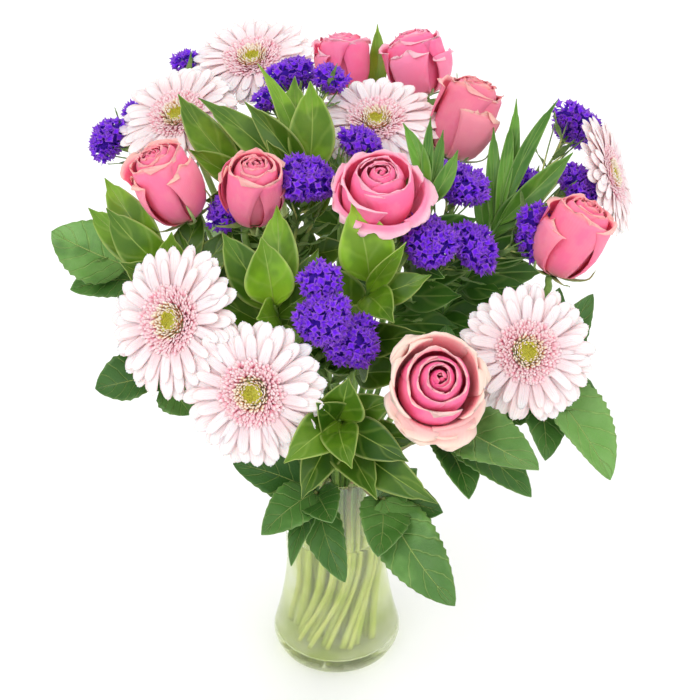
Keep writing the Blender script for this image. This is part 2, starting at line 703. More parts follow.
gerbera = {
    "cup": 12 * mm,              # from the stem to the plane of the petals
    # each ring of petals: how many, where they start, height, rise, spread of rise, length, droop, width
    "rings": [
        (25, 0.15, -1.6, 0.00, 0.025, 0.85, 2.4, 0.255),
        (24, 0.15, -0.4, 0.05, 0.030, 0.82, 2.2, 0.245),
        (19, 0.17, 0.8, 0.11, 0.040, 0.66, 1.6, 0.235),
    ],
    # florets inside the petals: shape, how many, inner and outer radius, height over the cup, fall
    # towards the outside, lean and size at the inner and outer radius; radii and sizes are shares of
    # the head's radius
    "florets": {
        "trans": ("tongue", 400, (0.210, 0.375), 2.4, -0.8, (0.25, 0.85), (0.09, 0.12)),
        "flecks": ("tongue", 105, (0.115, 0.215), 2.8, -0.4, (-0.45, 0.1), (0.085, 0.095)),
        "eye": ("star", 170, (0.0, 0.13), 1.2, -1.4, (0.0, 0.1), (0.035, 0.055)),
    },
    "stemRadius": 2.75 * mm,
    "petalStops": [(0.0, "#F79CAC"), (0.35, "#FCD0D3"), (0.7, "#FEEAE8"), (1.0, "#FFF4F1")],
    "petalBlush": "#FFFAF8",
    "trans": ("#FB7C98", "#FFEDEE", "#FFC6D0"),
    "flecks": ("#F0A050", "#FFFAF0", "#FFE6C4"),
    "eye": ("#A8A21C", "#F0E650", "#DCD040"),
    "greens": ("#9AAE62", "#C2CE8E"),
    "seed": 11,
    # azimuth, lean and reach from the tie; diameter, depth; azimuth and lift of where it looks
    "heads": [
        (-143, 33, 268, 114, 12, -125, 30),
        (-113, 37, 240, 108, 12, -105, 22),
        (-32, 40, 260, 104, 12, -85, 35),
        (67, 15, 326, 104, 12, -95, 66),
        (113, 28, 382, 108, 12, -110, 66),
        (141, 28, 351, 104, 12, -112, 56),
        (19, 41, 358, 104, 12, -18, 24),
    ],
}


# Geometry nodes: a tree that is applied as a modifier, then turned into a plain mesh.
def newNodeTree(name, inputs):
    tree = bpy.data.node_groups.new(name, "GeometryNodeTree")
    tree.interface.new_socket("Geometry", in_out="INPUT", socket_type="NodeSocketGeometry")
    for label, kind in inputs:
        tree.interface.new_socket(label, in_out="INPUT", socket_type=kind)
    tree.interface.new_socket("Geometry", in_out="OUTPUT", socket_type="NodeSocketGeometry")
    return tree, tree.nodes.new("NodeGroupInput"), tree.nodes.new("NodeGroupOutput")


def randomValue(tree, low, high, seed, offset):
    spread = addNode(tree, "FunctionNodeRandomValue", data_type="FLOAT")
    for key, value in ((2, low), (3, high), (8, calc(tree, "ADD", seed, float(offset)))):
        if isinstance(value, bpy.types.NodeSocket):
            tree.links.new(value, spread.inputs[key])
        else:
            spread.inputs[key].default_value = value
    return spread.outputs[1]


def vectorOf(tree, x, y, z):
    return addNode(tree, "ShaderNodeCombineXYZ", {0: x, 1: y, 2: z}).outputs[0]


# puts the chosen shape on points, marks each copy with its own tone and finishes the result
def finishInstances(tree, given, out, points, turn, size, bend=None):
    shape = addNode(tree, "GeometryNodeObjectInfo", {"Object": given.outputs["Shape"]})
    copies = addNode(tree, "GeometryNodeInstanceOnPoints", {
        "Points": points, "Instance": shape.outputs["Geometry"], "Rotation": turn, "Scale": size,
    }).outputs[0]
    tone = randomValue(tree, 0.0, 1.0, given.outputs["Seed"], 41)
    marked = addNode(tree, "GeometryNodeStoreNamedAttribute", {
        "Geometry": copies, "Name": "tone", "Value": tone,
    }, data_type="FLOAT", domain="INSTANCE").outputs[0]
    whole = addNode(tree, "GeometryNodeRealizeInstances", {0: marked}).outputs[0]
    if bend is not None:
        whole = bend(whole)
    done = addNode(tree, "GeometryNodeSetMaterial", {"Geometry": whole, "Material": given.outputs["Finish"]})
    tree.links.new(done.outputs[0], out.inputs[0])


# a ring of petals round the axis; each leans, droops and curls a little differently
def makePetalRingTree():
    tree, given, out = newNodeTree("petal ring", [
        ("Shape", "NodeSocketObject"), ("Count", "NodeSocketInt"), ("Ring Radius", "NodeSocketFloat"),
        ("Height", "NodeSocketFloat"), ("Rise", "NodeSocketFloat"), ("Rise Spread", "NodeSocketFloat"),
        ("Size", "NodeSocketFloat"), ("Droop", "NodeSocketFloat"), ("Reach", "NodeSocketFloat"),
        ("Turn", "NodeSocketFloat"), ("Seed", "NodeSocketInt"), ("Finish", "NodeSocketMaterial"),
    ])
    seed = given.outputs["Seed"]
    points = addNode(tree, "GeometryNodePoints", {"Count": given.outputs["Count"]}).outputs[0]
    index = addNode(tree, "GeometryNodeInputIndex").outputs[0]
    share = calc(tree, "DIVIDE", calc(tree, "ADD", index, randomValue(tree, -0.13, 0.13, seed, 1)),
                 given.outputs["Count"])
    angle = calc(tree, "ADD", calc(tree, "MULTIPLY", share, math.tau), given.outputs["Turn"])
    ring = given.outputs["Ring Radius"]
    lift = calc(tree, "ADD", given.outputs["Height"], randomValue(tree, -0.0004, 0.0004, seed, 2))
    place = vectorOf(tree, calc(tree, "MULTIPLY", calc(tree, "COSINE", angle), ring),
                     calc(tree, "MULTIPLY", calc(tree, "SINE", angle), ring), lift)
    points = addNode(tree, "GeometryNodeSetPosition", {"Geometry": points, "Position": place}).outputs[0]
    wobble = calc(tree, "MULTIPLY", randomValue(tree, -1.0, 1.0, seed, 3), given.outputs["Rise Spread"])
    rise = calc(tree, "MULTIPLY", calc(tree, "ADD", given.outputs["Rise"], wobble), -1.0)
    roll = randomValue(tree, -0.14, 0.14, seed, 4)
    turn = vectorOf(tree, roll, rise, angle)
    size = calc(tree, "MULTIPLY", given.outputs["Size"], randomValue(tree, 0.93, 1.02, seed, 5))
    grow = vectorOf(tree, size, calc(tree, "MULTIPLY", size, randomValue(tree, 0.92, 1.12, seed, 6)), size)

    def bend(whole):
        tone = addNode(tree, "GeometryNodeInputNamedAttribute", {"Name": "tone"},
                       data_type="FLOAT").outputs[0]
        position = addNode(tree, "GeometryNodeInputPosition").outputs[0]
        parts = addNode(tree, "ShaderNodeSeparateXYZ", {0: position})
        x, y = parts.outputs[0], parts.outputs[1]
        out2 = calc(tree, "ADD", calc(tree, "MULTIPLY", x, x), calc(tree, "MULTIPLY", y, y))
        far = calc(tree, "SQRT", out2)
        past = calc(tree, "MAXIMUM",
                    calc(tree, "SUBTRACT", calc(tree, "DIVIDE", far, given.outputs["Reach"]), 0.35), 0.0)
        past = calc(tree, "POWER", past, 2.0)
        own = calc(tree, "FRACT", calc(tree, "MULTIPLY", tone, 7.31))
        drop = calc(tree, "MULTIPLY", calc(tree, "MULTIPLY", past, given.outputs["Droop"]),
                    calc(tree, "MULTIPLY_ADD", tone, -1.5, 0.15))
        swing = calc(tree, "MULTIPLY",
                     calc(tree, "MULTIPLY", past, calc(tree, "MULTIPLY_ADD", own, 2.0, -1.0)), 0.22)
        shift = vectorOf(tree, calc(tree, "MULTIPLY", y, calc(tree, "MULTIPLY", swing, -1.0)),
                         calc(tree, "MULTIPLY", x, swing), drop)
        return addNode(tree, "GeometryNodeSetPosition", {"Geometry": whole, "Offset": shift}).outputs[0]

    finishInstances(tree, given, out, points, turn, grow, bend)
    return tree


# florets packed in the spiral of a seed head between two radii, over a shallow dome
def makeSeedSpiralTree():
    tree, given, out = newNodeTree("seed spiral", [
        ("Shape", "NodeSocketObject"), ("Count", "NodeSocketInt"), ("Inner", "NodeSocketFloat"),
        ("Outer", "NodeSocketFloat"), ("Height", "NodeSocketFloat"), ("Dome", "NodeSocketFloat"),
        ("Lean In", "NodeSocketFloat"), ("Lean Out", "NodeSocketFloat"), ("Size In", "NodeSocketFloat"),
        ("Size Out", "NodeSocketFloat"), ("Seed", "NodeSocketInt"), ("Finish", "NodeSocketMaterial"),
    ])
    seed = given.outputs["Seed"]
    points = addNode(tree, "GeometryNodePoints", {"Count": given.outputs["Count"]}).outputs[0]
    index = addNode(tree, "GeometryNodeInputIndex").outputs[0]
    share = calc(tree, "DIVIDE", calc(tree, "ADD", index, 0.5), given.outputs["Count"])
    inner, outer = given.outputs["Inner"], given.outputs["Outer"]
    low = calc(tree, "MULTIPLY", inner, inner)
    high = calc(tree, "MULTIPLY", outer, outer)
    radius = calc(tree, "SQRT", calc(tree, "MULTIPLY_ADD", share, calc(tree, "SUBTRACT", high, low), low))
    angle = calc(tree, "MULTIPLY_ADD", index, 2.399963, randomValue(tree, -0.05, 0.05, seed, 1))
    sink = calc(tree, "MULTIPLY", calc(tree, "POWER", calc(tree, "DIVIDE", radius, outer), 2.0),
                given.outputs["Dome"])
    lift = calc(tree, "SUBTRACT", given.outputs["Height"], sink)
    place = vectorOf(tree, calc(tree, "MULTIPLY", calc(tree, "COSINE", angle), radius),
                     calc(tree, "MULTIPLY", calc(tree, "SINE", angle), radius), lift)
    points = addNode(tree, "GeometryNodeSetPosition", {"Geometry": points, "Position": place}).outputs[0]
    lean = calc(tree, "MULTIPLY_ADD", share,
                calc(tree, "SUBTRACT", given.outputs["Lean Out"], given.outputs["Lean In"]),
                given.outputs["Lean In"])
    lean = calc(tree, "ADD", lean, randomValue(tree, -0.2, 0.2, seed, 2))
    turn = vectorOf(tree, randomValue(tree, -0.2, 0.2, seed, 3), lean, angle)
    size = calc(tree, "MULTIPLY_ADD", share,
                calc(tree, "SUBTRACT", given.outputs["Size Out"], given.outputs["Size In"]),
                given.outputs["Size In"])
    size = calc(tree, "MULTIPLY", size, randomValue(tree, 0.85, 1.15, seed, 4))
    finishInstances(tree, given, out, points, turn, vectorOf(tree, size, size, size))
    return tree


petalRing = makePetalRingTree()
seedSpiral = makeSeedSpiralTree()


# runs a tree on an empty mesh and keeps the result as a plain mesh object
def grow(name, tree, host=None, **values):
    start = host or bpy.data.objects.new(name + " start", bpy.data.meshes.new(name + " start"))
    if host is None:
        scene.collection.objects.link(start)
    modifier = start.modifiers.new("grow", "NODES")
    modifier.node_group = tree
    keys = {s.name: s.identifier for s in tree.interface.items_tree if s.in_out == "INPUT"}
    for label, value in values.items():
        modifier[keys[label.replace("_", " ")]] = value
    depsgraph = bpy.context.evaluated_depsgraph_get()
    mesh = bpy.data.meshes.new_from_object(start.evaluated_get(depsgraph))
    start.modifiers.remove(modifier)
    bpy.data.objects.remove(start)
    mesh.name = name
    obj = bpy.data.objects.new(name, mesh)
    scene.collection.objects.link(obj)
    return obj


# a shape to repeat, kept out of the scene and deleted once it has been used
def pattern(patches, name):
    obj = patches.toObject(name, [])
    obj.data.attributes.remove(obj.data.attributes["tone"])
    obj.hide_render = True
    return obj


# a ray petal one unit long along +X, lying flat, with two grooves and a smooth round tip
def rayPetal(width, curl):
    patches = Patches()
    rows, columns = 10, 7
    grid = np.zeros((rows, columns, 3))
    for i in range(rows):
        t = 1 - (1 - i / (rows - 1)) ** 1.5
        half = width / 2 * (0.42 + 0.58 * math.sin(math.pi / 2 * min(t / 0.68, 1)) ** 0.8)
        if t > 0.78:
            half *= math.sqrt(max(1 - ((t - 0.78) / 0.22) ** 2.6, 0.10))
        for j in range(columns):
            w = j / (columns - 1) * 2 - 1
            notch = 0.010 * math.cos(w * math.pi * 2) * max(0, t - 0.9) / 0.1 - 0.02 * w * w * t ** 6
            groove = -0.012 * math.cos(w * math.pi * 2.2) * math.sin(math.pi * min(t * 1.1, 1))
            cup = 0.10 * half * w * w * (1 - t * 0.5)
            arch = 0.055 * math.sin(math.pi * t) + curl * t * t
            grid[i, j] = (t + notch, w * half, arch + groove * 0.8 + cup)
    patches.addSheet(grid, 0.007)
    return pattern(patches, "ray petal")


# a short tongue one unit tall along +Z, curling over towards +X, as the inner florets have
def tongue(width, curl):
    patches = Patches()
    grid = np.zeros((5, 4, 3))
    for i in range(5):
        t = i / 4
        half = width * (0.5, 0.8, 1.0, 0.9, 0.35)[i]
        for j in range(4):
            w = j / 1.5 - 1
            grid[i, j] = (curl * t * t + 0.35 * half * (w * w - 0.5), w * half, t * (1 - 0.25 * curl * t))
    patches.addSheet(grid, 0.08, shadeGrid=np.tile(np.linspace(0, 1, 5)[:, None], (1, 4)))
    return pattern(patches, "tongue")


# a tiny floret one unit tall along +Z, leaning lobes at the top
def tinyFloret(lobes, flare, waist, sides=6):
    patches = Patches()
    levels = [(0.0, waist), (0.45, waist * 0.8), (0.75, waist * 1.3), (1.0, flare), (0.92, flare * 0.45)]
    grid = np.zeros((len(levels), sides, 3))
    for i, (z, r) in enumerate(levels):
        for k in range(sides):
            a = k / sides * math.tau
            star = 1 + (0.35 * math.cos(a * lobes) if i == 3 else 0)
            grid[i, k] = (r * star * math.cos(a), r * star * math.sin(a),
                          z + (0.08 * math.cos(a * lobes) if i == 3 else 0))
    grid = np.concatenate([np.repeat(grid[:1].mean(1, keepdims=True), sides, 1), grid,
                           np.repeat(grid[-1:].mean(1, keepdims=True), sides, 1)])
    v = np.array([0, 0, 0.45, 0.75, 1.0, 0.6, 0.3])
    blade = np.stack(np.meshgrid(np.arange(sides) / sides, v), axis=2)
    patches.addLoops(grid, blade, 0.5, np.tile(v[:, None], (1, sides)), 0)
    return pattern(patches, "tiny floret")


petalFinish = makePetalMaterial("gerbera petal", gerbera["petalStops"], gerbera["petalBlush"], 6, rough=0.5)
floretFinishes = {
    "trans": makeFloretMaterial("gerbera inner floret", *gerbera["trans"]),
    "flecks": makeFloretMaterial("gerbera cream floret", *gerbera["flecks"]),
    "eye": makeFloretMaterial("gerbera eye", *gerbera["eye"]),
}
cupFinish = makeStemMaterial("gerbera green", *gerbera["greens"], ribs=9, hair=0.5)


# green scales that hold the head from below, and the floor under the florets
def gerberaCup(radius):
    patches = Patches()
    cup = gerbera["cup"]
    levels = [(2.9 * mm, 0.2 * mm), (4.2 * mm, 0.6 * mm), (radius * 0.20, cup * 0.40),
              (radius * 0.27, cup * 0.75),
              (radius * 0.30, cup * 0.98), (radius * 0.24, cup * 1.1), (radius * 0.1, cup * 1.14)]
    sides = 24
    grid = turnedGrid(levels, sides)
    v = np.linspace(0, 1, len(grid))
    blade = np.stack(np.meshgrid(np.arange(sides) / sides, v), axis=2)
    patches.addLoops(grid, blade, 0.4, np.tile(v[:, None], (1, sides)), 0)
    chance = random.Random(5)
    for row, count in enumerate((18, 22)):
        for k in range(count):
            turn = (k + 0.5 * row + chance.uniform(-0.15, 0.15)) / count * math.tau
            length = radius * chance.uniform(0.26, 0.33)
            scale = np.zeros((5, 3, 3))
            for i in range(5):
                t = i / 4
                r = 3.6 * mm + row * 2.0 * mm + length * t * (0.75 + 0.1 * t)
                z = 0.4 * mm + row * 1.4 * mm + (cup * 0.95) * t ** 1.2 - 0.5 * mm
                for j in range(3):
                    side = (j - 1) * radius * 0.03 * (1 - t) ** 0.6
                    scale[i, j] = (r * math.cos(turn) - side * math.sin(turn),
                                   r * math.sin(turn) + side * math.cos(turn), z)
            patches.addSheet(scale, 0.5 * mm, tone=chance.random())
    return patches.toObject("gerbera cup", [cupFinish])


def makeGerbera(number):
    node = f"gerbera_{number}_head"
    head = headOf(gerbera["heads"][number - 1], gerbera["cup"])
    radius, cup = head["radius"], gerbera["cup"]
    seed = gerbera["seed"] * number
    parts = [gerberaCup(radius)]
    for k, (count, ring, height, rise, spread, size, droop, width) in enumerate(gerbera["rings"]):
        petal = rayPetal(width, 0.02)
        parts.append(grow(
            "petals", petalRing, Shape=petal, Count=count, Ring_Radius=ring * radius,
            Height=cup + height * mm,
            Rise=rise, Rise_Spread=spread, Size=size * radius, Droop=droop * 3 * mm, Reach=radius,
            Turn=k * 0.7 + number, Seed=seed + k, Finish=petalFinish,
        ))
        bpy.data.objects.remove(petal)
    shapes = {"tongue": tongue(0.21, 0.35), "star": tinyFloret(5, 0.34, 0.24, 5)}
    for k, (name, row) in enumerate(gerbera["florets"].items()):
        shape, count, ring, height, dome, lean, size = row
        parts.append(grow(
            name, seedSpiral, Shape=shapes[shape], Count=count, Inner=ring[0] * radius,
            Outer=ring[1] * radius, Height=cup + height * mm, Dome=dome * mm, Lean_In=lean[0],
            Lean_Out=lean[1], Size_In=size[0] * radius, Size_Out=size[1] * radius, Seed=seed + 7 + k,
            Finish=floretFinishes[name],
        ))
    for shape in shapes.values():
        bpy.data.objects.remove(shape)
    whole = joined(f"gerbera_bloom_{number}", parts, headMatrix(head, 17 * number))
    settle(whole, "gerbera_petal", node)
    return head


def makeStem(name, node, slot, finish, end, axis, neck, radius, sides=10, foot=1.08, swell=None, lumps=0.03):
    line = stemLine(node, end, axis, neck)
    chance = random.Random(node)
    phase = chance.uniform(0, 6)

    def profile(share, angle):
        body = radius * (foot + (1 - foot) * share) * (1 + lumps * math.sin(share * 37 + angle * 2 + phase))
        return body * (swell(share) if swell else 1)

    patches = Patches()
    patches.addTube(line, profile, sides)
    piece = patches.toObject(name, [finish])
    settle(piece, slot, node)


gerberaStemFinish = makeStemMaterial("gerbera stem", "#8FB058", "#B8CC80", ribs=10, hair=0.8, pale=0.85)
for number in range(1, 8):
    head = makeGerbera(number)
    makeStem(f"gerbera_stalk_{number}", f"gerbera_{number}_stem", "gerbera_stem", gerberaStemFinish,
             head["base"] - head["axis"] * 0.3 * mm, head["axis"], bunch["gerberaNeck"],
             gerbera["stemRadius"],
             swell=lambda share: 1 + 0.25 * max(0, share - 0.96) / 0.04)
print("gerberas")


# roses

rose = {
    "petalThickness": 0.42 * mm,
    "veinShow": 0.06,
    "stemRadius": 3 * mm,
    # azimuth, lean and reach from the tie; diameter, depth; azimuth and lift of where it looks;
    # how far it has opened, which colours it has, and its loose outer petals:
    # azimuth, droop, how far it stands out, width
    "heads": [
        ((180, 23, 318, 52, 66, -160, 66), 0.25, "bud", [(200, 20, 0.92, 0.62), (330, 25, 0.95, 0.6)]),
        ((-163, 12, 302, 50, 60, -72, 72), 0.35, "bud", [(20, 50, 1.0, 0.6), (150, 25, 0.95, 0.6)]),
        ((88, 28, 372, 52, 56, 90, 74), 0.45, "pink", [(200, 30, 0.95, 0.6)]),
        ((67, 28, 378, 58, 58, 140, 70), 0.5, "pink", [(340, 50, 1.0, 0.6), (250, 30, 0.95, 0.6)]),
        ((37, 22, 342, 56, 70, 23, 69), 0.4, "dusky", [(100, 50, 1.0, 0.62), (290, 35, 0.95, 0.6)]),
        ((-44, 9, 303, 72, 56, -90, 66), 0.62, "pink",
         [(345, 74, 1.04, 0.62), (262, 70, 1.0, 0.66), (205, 50, 0.98, 0.6), (140, 42, 0.96, 0.6),
          (55, 36, 0.94, 0.62)]),
        ((-6, 35, 314, 58, 66, 0, 66), 0.45, "peach", [(60, 50, 1.0, 0.6), (200, 40, 0.95, 0.6)]),
        ((-63, 38, 256, 70, 62, -84, 44), 0.8, "cream",
         [(268, 88, 1.16, 0.80), (232, 66, 1.05, 0.62), (308, 62, 1.05, 0.60), (182, 18, 0.95, 0.74),
          (104, 16, 0.98, 0.80), (36, 22, 0.92, 0.70), (350, 30, 0.94, 0.62), (145, 12, 0.88, 0.6)]),
    ],
    # from the heart of the bloom outwards, then the petal's rim
    "colours": {
        "bud": ("#FC6C96", "#FF7CA2", "#FC8CA6", "#FAC8B2"),
        "pink": ("#FE5A8E", "#FF76A4", "#FF8EB2", "#FFCED6"),
        "dusky": ("#EE5C80", "#F2809A", "#EE92A0", "#F8BEAC"),
        "peach": ("#FB5084", "#FF7CA0", "#FF92AA", "#FFCBB4"),
        "cream": ("#FF4C8A", "#FF72A4", "#F4BCB6", "#FAE0CE"),
    },
    "foot": "#D9C99A",
    "sepal": ("#6F9446", "#A9BE78"),
}


# from the heart outwards the petals pale; each has a paler rim and a greenish foot
def makeRoseMaterial(name, heart, body, outer, rim):
    material, tree, shader = newMaterial(
        "rose " + name, Sheen_Weight=0.08, Sheen_Roughness=0.4, Subsurface_Weight=0.25,
        Specular_IOR_Level=0.25,
    )
    shader.inputs["Subsurface Radius"].default_value = (1.0, 0.4, 0.35)
    shader.inputs["Subsurface Scale"].default_value = 2.2 * mm
    rib = placeGroup(tree, petalRibs, Ribs=22.0)
    spots = placeGroup(tree, mottle, **{"Patch Scale": 60.0, "Grain Scale": 1300.0})
    tone, shade = attribute(tree, "tone"), attribute(tree, "shade")
    skin = ramp(tree, tone, [(0.0, heart), (0.5, body), (0.88, body), (1.0, outer)])
    deep = smooth(tree, shade, 0.75, 0.25)
    skin = mixColours(tree, calc(tree, "MULTIPLY", deep, 0.3), skin, colour(heart))
    cloud = calc(tree, "MULTIPLY", smooth(tree, spots.outputs["Patches"], 0.3, 0.9), 0.1)
    skin = mixColours(tree, cloud, skin, colour(rim))
    edge = smooth(tree, shade, 0.55, 1.0)
    edge = calc(tree, "MULTIPLY", edge, calc(tree, "MULTIPLY_ADD", tone, 0.55, 0.25))
    skin = mixColours(tree, edge, skin, colour(rim))
    foot = calc(tree, "MULTIPLY", smooth(tree, shade, 0.20, 0.0), calc(tree, "MULTIPLY", tone, 0.7))
    skin = mixColours(tree, foot, skin, colour(rose["foot"]))
    veined = calc(tree, "MULTIPLY", calc(tree, "MULTIPLY", rib.outputs["Fine"], spots.outputs["Patches"]),
                  rose["veinShow"])
    skin = mixColours(tree, veined, skin, colour(heart))
    tree.links.new(skin, shader.inputs["Base Color"])
    rough = calc(tree, "MULTIPLY_ADD", spots.outputs["Grain"], 0.12, 0.46)
    tree.links.new(rough, shader.inputs["Roughness"])
    height = calc(tree, "ADD", calc(tree, "MULTIPLY", rib.outputs["Fine"], 0.05),
                  calc(tree, "MULTIPLY", spots.outputs["Grain"], 0.12))
    height = calc(tree, "ADD", height, calc(tree, "MULTIPLY", spots.outputs["Patches"], 0.6))
    bump(tree, shader, height, 0.4 * mm)
    return material


roseFinishes = {name: makeRoseMaterial(name, *codes) for name, codes in rose["colours"].items()}
sepalFinish = makeStemMaterial("rose sepal", *rose["sepal"], ribs=5, hair=0.3)


# one petal: up the outside of the bud, then rolled out at its rim
# track: points (distance from the axis, height) along its middle; curl: size and angle of the roll
def rosePetal(patches, azimuth, track, halfWidth, curl, tone, wrap, point=0.3, sideCurl=0.5, chance=None):
    size, angle = curl
    flat = [Vector((r, z, 0)) for r, z in track]
    line = smoothLine(flat, 10)
    ahead = (line[-1] - line[-2]).normalized()
    out = Vector((ahead.y, -ahead.x, 0))
    if out.x < 0 and abs(ahead.y) > 0.3:
        out = -out
    steps = 6
    for k in range(1, steps + 1):
        turn = angle * k / steps
        line.append(line[10] + ahead * math.sin(turn) * size + out * (1 - math.cos(turn)) * size)
    rows, columns = len(line), 11
    grid = np.zeros((rows, columns, 3))
    shades = np.zeros((rows, columns))
    wave = chance.uniform(0, 6)
    skew = chance.uniform(0.4, 1.1) * mm * wrap
    for i in range(rows):
        t = i / (rows - 1)
        reach = halfWidth * (0.30 + 0.70 * math.sin(math.pi / 2 * min(t / 0.62, 1)) ** 0.9)
        if t > 0.72:
            reach *= math.sqrt(max(1 - ((t - 0.72) / 0.30) ** 2.6, 0.03))
        for j in range(columns):
            w = j / (columns - 1) * 2 - 1
            # towards its sides the petal is lower, so the rim comes to a soft point in the middle
            back = max(i - abs(w) ** 2.2 * point * 6 * t ** 3, 0)
            low = min(int(back), rows - 2)
            spot = line[low].lerp(line[low + 1], back - low)
            r = max(spot.x, 0.8 * mm)
            turn = w * reach / max(r, 2.2 * mm)
            turn = max(min(turn, 2.3), -2.3)
            lift = t ** 3 * abs(w) ** 2.5 * sideCurl * 5 * mm
            r += lift + skew * w * min(t * 2, 1) + t * t * 0.6 * mm * wrap * math.sin(wave + w * 4.2)
            z = spot.y - lift * 0.35 + t ** 3 * 0.9 * mm * wrap * math.sin(wave * 2 + w * 5)
            z += t ** 4 * 0.35 * mm * wrap * math.sin(wave * 3 + w * 11)
            a = azimuth + turn
            grid[i, j] = (r * math.cos(a), r * math.sin(a), z)
            shades[i, j] = min(1, t + 0.12 * abs(w) ** 3 * t)
    patches.addSheet(grid, rose["petalThickness"], tone=tone, shadeGrid=shades)


def makeRoseHead(number):
    plan, openness, finishName, guards = rose["heads"][number - 1]
    head = headOf(plan, 0)
    radius, height = head["radius"], head["height"]
    chance = random.Random(40 + number)
    patches = Patches()
    cup = radius * (0.93 if openness < 0.6 else 0.80 if openness < 0.7 else 0.77)
    sink = 0.10 + 0.22 * openness
    count = 13 if openness < 0.6 else 11
    for k in range(count):
        t = k / (count - 1)
        azimuth = k * 2.28 + chance.uniform(-0.35, 0.35)
        # each petal lies over the next inner one, so together their tops make a low dome
        belly = cup * (0.15 + 0.85 * t ** 0.9)
        flare = min(max(t - 0.62, 0) / 0.38, 1) * (0.95 - 0.3 * openness if openness < 0.7 else 0.3)
        mouth = belly - min(cup * (0.15 + 0.08 * t), belly * 0.72) * (1 - flare)
        shoulder = height * (0.97 - sink * (belly / cup) ** 2) - (1.5 + 2 * t) * mm * (1 - flare)
        top = height * (0.98 - sink * (mouth / cup) ** 2) + chance.uniform(-1.4, 0.6) * mm
        middle = (belly * 0.55 + mouth * 0.45, shoulder * 0.5 + top * 0.5)
        track = [(min(2.5 * mm, belly * 0.6), 2 * mm), (belly * 0.70, height * 0.14),
                 (belly * 0.98, height * 0.42),
                 (belly * 0.97, shoulder * 0.90), middle, (mouth + 0.4 * mm, top)]
        size = (0.7 + 2.2 * t ** 1.5) * mm
        angle = 0.9 + 0.7 * t + 0.6 * flare + chance.uniform(-0.3, 0.4)
        rosePetal(patches, azimuth, track, 4.5 * mm + belly * chance.uniform(0.95, 1.2), (size, angle),
                  t * 0.85, 1.0 + 1.0 * t, chance.uniform(0.3, 0.9) * (0.5 + 0.5 * t),
                  0.1 + 0.7 * flare, chance)
    for azimuth, droop, stand, wide in guards:
        sink = math.sin(math.radians(droop))
        edge = radius * stand
        lip = height * (0.90 - 0.42 * sink)
        track = [(3 * mm, 2 * mm), (cup * 0.72, height * 0.13), (cup * 1.02, height * 0.38),
                 (cup * 1.03 + (edge - cup) * 0.3, height * (0.68 - 0.12 * sink)), (edge - 2.5 * mm, lip)]
        rosePetal(patches, math.radians(azimuth), track, radius * wide * 1.1,
                  (2.6 * mm, 1.0 + 0.9 * sink), 1.0, 2.2, 0.75, 0.9, chance)
    bloom = patches.toObject("bloom", [roseFinishes[finishName]])
    green = Patches()
    hip = [(2.4 * mm, 0.1 * mm), (4.2 * mm, 1.2 * mm), (5.6 * mm, 3.5 * mm), (radius * 0.42, 6 * mm),
           (radius * 0.2, 8 * mm)]
    sides = 12
    grid = turnedGrid(hip, sides)
    v = np.linspace(0, 1, len(grid))
    blade = np.stack(np.meshgrid(np.arange(sides) / sides, v), axis=2)
    green.addLoops(grid, blade, 0.4, np.tile(v[:, None], (1, sides)), 0)
    for k in range(5):
        turn = k / 5 * math.tau + chance.uniform(-0.2, 0.2)
        length = chance.uniform(0.55, 0.75) * height * (0.75 if openness < 0.6 else 0.6)
        hang = chance.uniform(-0.2, 0.7)
        sheet = np.zeros((9, 5, 3))
        for i in range(9):
            t = i / 8
            r = (3.8 * mm + cup * 0.92 * math.sin(min(t * 1.4, 1) * math.pi / 2) ** 0.9
                 + hang * length * 0.35 * t ** 2.5)
            z = 2.0 * mm + length * 0.55 * t ** 1.5 - hang * length * 0.45 * t ** 3
            half = (1 - t) ** 0.7 * 3.6 * mm * (0.75 + 0.25 * math.sin(t * 9))
            for j in range(5):
                w = j / 2 - 1
                sheet[i, j] = ((r + 0.4 * mm * (1 - w * w)) * math.cos(turn) - w * half * math.sin(turn),
                               (r + 0.4 * mm * (1 - w * w)) * math.sin(turn) + w * half * math.cos(turn), z)
        green.addSheet(sheet, 0.5 * mm, tone=chance.random())
    sepals = green.toObject("sepals", [sepalFinish])
    whole = joined(f"rose_bloom_{number}", [bloom, sepals], headMatrix(head))
    settle(whole, "rose_petal", f"rose_{number}_head")
    return head


roseStemFinish = makeStemMaterial("rose stem", "#5F8A34", "#8FAF58", ribs=5, hair=0.1, rough=0.42, pale=0.75)
for number in range(1, 9):
    head = makeRoseHead(number)
    makeStem(f"rose_stalk_{number}", f"rose_{number}_stem", "rose_stem", roseStemFinish,
             head["base"] - head["axis"] * 0.3 * mm, head["axis"], bunch["roseNeck"], rose["stemRadius"],
             foot=1.05, swell=lambda share: 0.92 + 0.06 * max(0, math.sin(share * 24)) ** 8)
print("roses")


# statice

